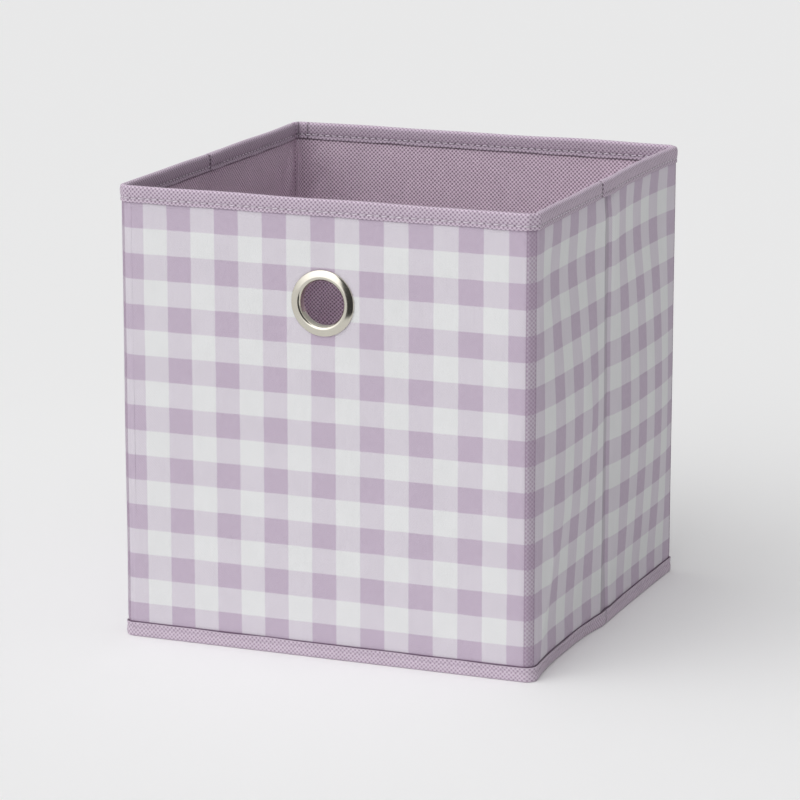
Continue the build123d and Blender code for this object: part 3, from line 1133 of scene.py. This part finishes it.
def build_studio():
    scene = bpy.context.scene
    scene.view_settings.view_transform = "Standard"
    mesh = bpy.data.meshes.new("floor")
    reach = 14.0
    corners = [(-reach, -reach, 0), (reach, -reach, 0), (reach, reach, 0), (-reach, reach, 0)]
    mesh.from_pydata(corners, [], [(0, 1, 2, 3)])
    floor = bpy.data.objects.new("floor", mesh)
    scene.collection.objects.link(floor)
    paint = Nodes("floor", Roughness=0.9, Specular_IOR_Level=0.1)
    paint.shader.inputs["Base Color"].default_value = (0.95, 0.95, 0.952, 1)
    mesh.materials.append(paint.material)
    floor.visible_glossy = False  # the metal mirrors the world's ground, which has the card on it
    scene.world = studio_light()


def studio_light():
    """Soft light from all round, most of it from above the front left, with a dark card at the right. The
    metal mirrors a wider card than the one that shades the cloth."""
    world = bpy.data.worlds.new("studio")
    world.use_nodes = True
    tree = world.node_tree

    def node(kind, *inputs, output=0, **settings):
        made = tree.nodes.new(kind)
        for key, value in settings.items():
            setattr(made, key, value)
        for socket, value in zip(made.inputs, inputs):
            if hasattr(value, "links"):
                tree.links.new(value, socket)
            else:
                socket.default_value = value
        return made.outputs[output]

    def maths(operation, *inputs):
        return node("ShaderNodeMath", *inputs, operation=operation)

    def towards(way, ray):
        return node("ShaderNodeVectorMath", ray, tuple(way), output="Value", operation="DOT_PRODUCT")

    def between(value, low, high, start=0.0, end=1.0):
        return node("ShaderNodeMapRange", value, low, high, start, end, interpolation_type="SMOOTHSTEP")

    def dark_card(azimuth, elevation):
        across = between(towards(direction(azimuth, 0), level), 0.87, 0.92)
        top = math.sin(math.radians(elevation))
        below = between(up, top - 0.1, top + 0.1, 1.0, 0.0)
        return maths("MULTIPLY", maths("MULTIPLY", across, below), between(up, -0.52, -0.42))

    ray = node("ShaderNodeTexCoord", output="Generated")
    level = node("ShaderNodeVectorMath", ray, (1, 1, 0), operation="MULTIPLY")
    level = node("ShaderNodeVectorMath", level, operation="NORMALIZE")
    up = towards((0, 0, 1), ray)
    lobe = maths("DIVIDE", maths("SUBTRACT", towards(direction(*KEY), ray), 1.0), KEY_WIDTH)
    fill = between(up, 0.25, 0.7, FILL_LIGHT, CEILING * FILL_LIGHT)
    light = maths("MULTIPLY_ADD", maths("EXPONENT", lobe), KEY_LIGHT, fill)
    sky = maths("GREATER_THAN", up, 0.0)
    light = maths("MULTIPLY_ADD", light, sky, maths("MULTIPLY_ADD", sky, -GROUND, GROUND))
    mirrored = node("ShaderNodeLightPath", output="Is Glossy Ray")
    shading, in_mirror = dark_card(*SHADING_CARD), dark_card(*MIRRORED_CARD)
    card = node("ShaderNodeMapRange", mirrored, 0.0, 1.0, shading, in_mirror)
    strength = maths("MULTIPLY", light, maths("MULTIPLY_ADD", card, -CARD_DARKNESS, 1.0))
    tree.links.new(strength, tree.nodes["Background"].inputs[1])
    tree.nodes["Background"].inputs[0].default_value = (1, 1, 1, 1)
    return world


def direction(azimuth, elevation):
    a, e = math.radians(azimuth), math.radians(elevation)
    return Vector((math.sin(a) * math.cos(e), -math.cos(a) * math.cos(e), math.sin(e)))


def build_camera():
    data = bpy.data.cameras.new("camera")
    data.lens, data.sensor_width, data.clip_end = 165.8, 36.0, 60.0
    camera = bpy.data.objects.new("camera", data)
    bpy.context.scene.collection.objects.link(camera)
    way = direction(21.96, 13.19)
    camera.location = Vector((-4.65 * MM, 0, 130.0 * MM)) + way * 2.3018
    camera.rotation_euler = way.to_track_quat("Z", "Y").to_euler()
    bpy.context.scene.camera = camera


build_camera()
build_boards()
build_walls()
build_rim_stitches()
build_foot()
build_insert()
build_grommet()
build_studio()
